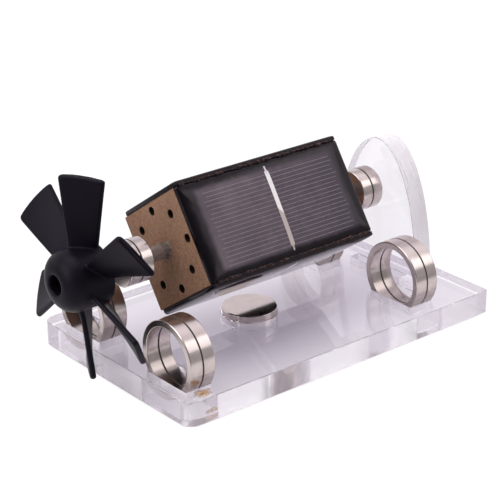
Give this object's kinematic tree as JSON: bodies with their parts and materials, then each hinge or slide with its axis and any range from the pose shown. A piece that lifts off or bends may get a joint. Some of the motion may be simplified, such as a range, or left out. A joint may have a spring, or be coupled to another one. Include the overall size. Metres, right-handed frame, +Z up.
{
  "type": "solar_levitation_motor",
  "caption": "Classroom solar levitation motor: a square rotor of solar panels with a propeller floats above ring magnets on a clear acrylic base and spins in light",
  "frame": {"origin": "centre of the underside of the base plate", "axes": "+X runs along the rotor shaft from the propeller towards the thrust plate, +Y across the base to the left of someone looking along +X, +Z is up"},
  "size_m": [0.144, 0.0762, 0.0698],
  "materials": {
    "clear_acrylic": "polished clear acrylic sheet",
    "nickel_plating": "bright nickel plating",
    "shaft_plastic": "translucent grey plastic tube",
    "steel_pin": "ground steel",
    "fibreboard": "raw dark fibreboard",
    "circuit_board": "black circuit board",
    "silicon_cell": "dark silicon with printed fingers",
    "dark_resin": "glossy potting resin",
    "dark_glue": "dried brown glue",
    "clear_glue": "clear hot glue",
    "core_wood": "plain softwood",
    "enamelled_copper": "enamelled copper wire",
    "solder": "solder",
    "black_plastic": "moulded black plastic"
  },
  "bodies": {
    "root": {"base_plate": "clear_acrylic", "thrust_plate": "clear_acrylic", "support_magnet_front_left_outer": "nickel_plating", "support_magnet_front_left_inner": "nickel_plating", "support_magnet_front_right_outer": "nickel_plating", "support_magnet_front_right_inner": "nickel_plating", "support_magnet_rear_left_outer": "nickel_plating", "support_magnet_rear_left_inner": "nickel_plating", "support_magnet_rear_right_outer": "nickel_plating", "support_magnet_rear_right_inner": "nickel_plating", "stator_magnet_lower": "nickel_plating", "stator_magnet_upper": "nickel_plating"},
    "rotor": {"shaft": "shaft_plastic", "shaft_tip": "steel_pin", "rotor_magnet_front_1": "nickel_plating", "rotor_magnet_front_2": "nickel_plating", "rotor_magnet_rear_1": "nickel_plating", "rotor_magnet_rear_2": "nickel_plating", "end_plate_front": "fibreboard", "end_plate_rear": "fibreboard", "panel_board_1": "circuit_board", "panel_cell_1": "silicon_cell", "panel_resin_1": "dark_resin", "panel_board_2": "circuit_board", "panel_cell_2": "silicon_cell", "panel_resin_2": "dark_resin", "panel_board_3": "circuit_board", "panel_cell_3": "silicon_cell", "panel_resin_3": "dark_resin", "panel_board_4": "circuit_board", "panel_cell_4": "silicon_cell", "panel_resin_4": "dark_resin", "seam_glue": "dark_glue", "shaft_glue_front": "clear_glue", "shaft_glue_rear": "clear_glue", "coil_core": "core_wood", "coil_winding_1": "enamelled_copper", "coil_winding_2": "enamelled_copper", "lead_wires": "enamelled_copper", "solder_joints": "solder", "propeller": "black_plastic"}
  },
  "joints": [
    {"name": "rotor_spin", "type": "hinge", "parent": "root", "child": "rotor", "pos_m": [0, 0, 0.03835], "axis": [1, 0, 0], "continuous": true}
  ]
}
